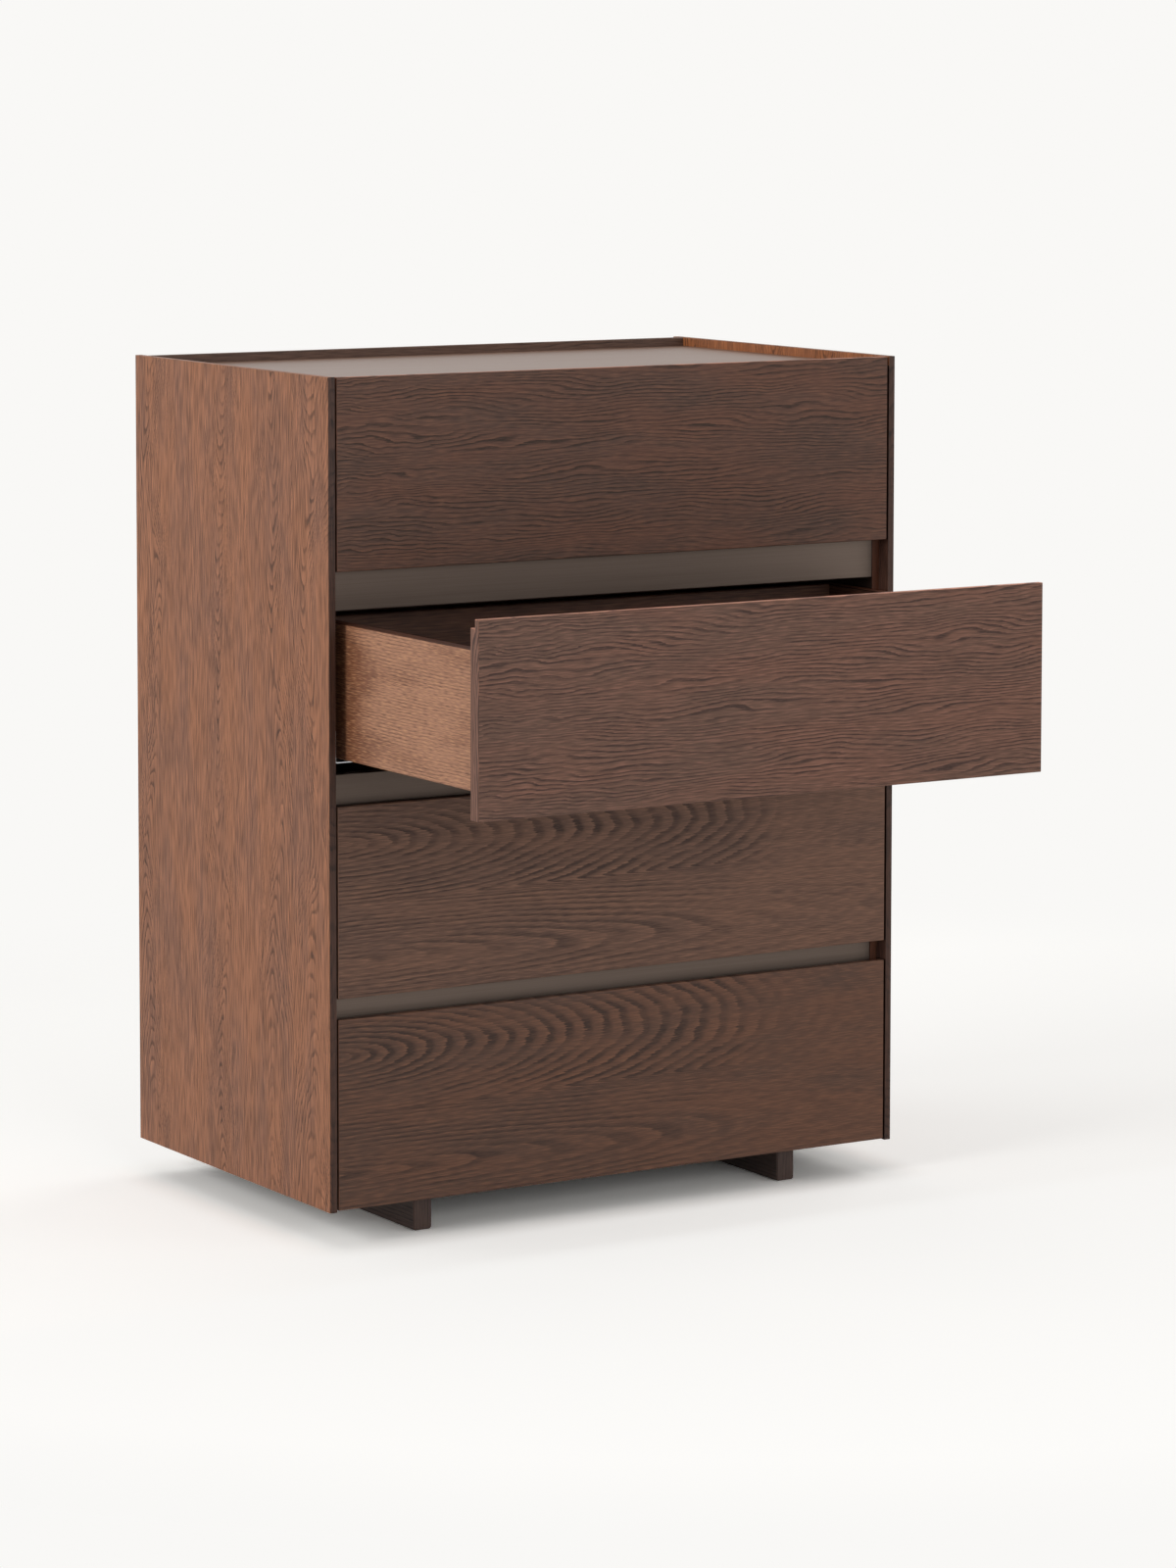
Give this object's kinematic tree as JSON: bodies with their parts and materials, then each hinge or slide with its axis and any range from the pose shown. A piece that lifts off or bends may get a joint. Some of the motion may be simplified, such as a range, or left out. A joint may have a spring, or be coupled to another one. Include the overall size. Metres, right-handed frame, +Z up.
{
  "type": "chest of drawers",
  "caption": "Free-standing chest of drawers in stained oak veneer with metal strips between lipped drawer fronts, a shallow tray top and skid feet, one drawer standing open.",
  "frame": {"origin": "on the floor, under the middle of the chest's width and of its depth with the open drawer", "axes": "+X from left to right as the user sees it, +Y to the back, +Z up"},
  "size_m": [0.8, 0.822, 1.0255],
  "materials": {
    "side_veneer": "stained oak veneer, matt lacquer, upright grain",
    "front_veneer": "dark stained oak veneer, matt lacquer, level grain",
    "drawer_veneer": "stained oak veneer on drawer sides, matt lacquer",
    "drawer_bottom": "stained oak veneer on thin board",
    "tray_lacquer": "satin taupe lacquer on board",
    "dark_board": "dark stained board",
    "strip_metal": "brushed, bronze-taupe finish",
    "skid_wood": "dark stained solid oak",
    "runner_steel": "bright galvanised sheet",
    "fitting_zinc": "zinc plated",
    "screw_steel": "zinc plated",
    "dowel_beech": "raw beech"
  },
  "bodies": {
    "carcass": {"side_panel_left": "side_veneer", "side_panel_right": "side_veneer", "side_board_left": "dark_board", "side_board_right": "dark_board", "top_panel": "tray_lacquer", "bottom_panel": "dark_board", "back_panel": "front_veneer", "rail_1": "dark_board", "rail_2": "dark_board", "rail_3": "dark_board", "strip_1": "strip_metal", "strip_2": "strip_metal", "strip_3": "strip_metal", "skid_left": "skid_wood", "skid_right": "skid_wood", "cam_locks": "fitting_zinc", "cam_bolts": "fitting_zinc", "dowels": "dowel_beech", "skid_screws": "screw_steel", "runner_screws": "screw_steel", "drawer_1_cabinet_rails": "runner_steel", "drawer_2_cabinet_rails": "runner_steel", "drawer_3_cabinet_rails": "runner_steel", "drawer_4_cabinet_rails": "runner_steel"},
    "drawer_1": {"drawer_1_front": "front_veneer", "drawer_1_box_front": "drawer_veneer", "drawer_1_box_left": "drawer_veneer", "drawer_1_box_right": "drawer_veneer", "drawer_1_box_back": "drawer_veneer", "drawer_1_box_bottom": "drawer_bottom", "drawer_1_front_screws": "screw_steel", "drawer_1_drawer_rails": "runner_steel"},
    "runner_middle_1": {"drawer_1_middle_rails": "runner_steel"},
    "drawer_2": {"drawer_2_front": "front_veneer", "drawer_2_box_front": "drawer_veneer", "drawer_2_box_left": "drawer_veneer", "drawer_2_box_right": "drawer_veneer", "drawer_2_box_back": "drawer_veneer", "drawer_2_box_bottom": "drawer_bottom", "drawer_2_front_screws": "screw_steel", "drawer_2_drawer_rails": "runner_steel"},
    "runner_middle_2": {"drawer_2_middle_rails": "runner_steel"},
    "drawer_3": {"drawer_3_front": "front_veneer", "drawer_3_box_front": "drawer_veneer", "drawer_3_box_left": "drawer_veneer", "drawer_3_box_right": "drawer_veneer", "drawer_3_box_back": "drawer_veneer", "drawer_3_box_bottom": "drawer_bottom", "drawer_3_front_screws": "screw_steel", "drawer_3_drawer_rails": "runner_steel"},
    "runner_middle_3": {"drawer_3_middle_rails": "runner_steel"},
    "drawer_4": {"drawer_4_front": "front_veneer", "drawer_4_box_front": "drawer_veneer", "drawer_4_box_left": "drawer_veneer", "drawer_4_box_right": "drawer_veneer", "drawer_4_box_back": "drawer_veneer", "drawer_4_box_bottom": "drawer_bottom", "drawer_4_front_screws": "screw_steel", "drawer_4_drawer_rails": "runner_steel"},
    "runner_middle_4": {"drawer_4_middle_rails": "runner_steel"}
  },
  "joints": [
    {"name": "drawer_1_slide", "type": "slide", "parent": "carcass", "child": "drawer_1", "axis": [0, -1, 0], "range_m": [0, 0.4]},
    {"name": "runner_middle_1_slide", "type": "slide", "parent": "carcass", "child": "runner_middle_1", "axis": [0, -1, 0], "range_m": [0, 0.2]},
    {"name": "drawer_2_slide", "type": "slide", "parent": "carcass", "child": "drawer_2", "axis": [0, -1, 0], "range_m": [-0.325, 0.075]},
    {"name": "runner_middle_2_slide", "type": "slide", "parent": "carcass", "child": "runner_middle_2", "axis": [0, -1, 0], "range_m": [-0.1625, 0.0375]},
    {"name": "drawer_3_slide", "type": "slide", "parent": "carcass", "child": "drawer_3", "axis": [0, -1, 0], "range_m": [0, 0.4]},
    {"name": "runner_middle_3_slide", "type": "slide", "parent": "carcass", "child": "runner_middle_3", "axis": [0, -1, 0], "range_m": [0, 0.2]},
    {"name": "drawer_4_slide", "type": "slide", "parent": "carcass", "child": "drawer_4", "axis": [0, -1, 0], "range_m": [0, 0.4]},
    {"name": "runner_middle_4_slide", "type": "slide", "parent": "carcass", "child": "runner_middle_4", "axis": [0, -1, 0], "range_m": [0, 0.2]}
  ],
  "couplings": [
    {"joint": "runner_middle_1_slide", "follows": "drawer_1_slide", "ratio": 0.5},
    {"joint": "runner_middle_2_slide", "follows": "drawer_2_slide", "ratio": 0.5},
    {"joint": "runner_middle_3_slide", "follows": "drawer_3_slide", "ratio": 0.5},
    {"joint": "runner_middle_4_slide", "follows": "drawer_4_slide", "ratio": 0.5}
  ]
}
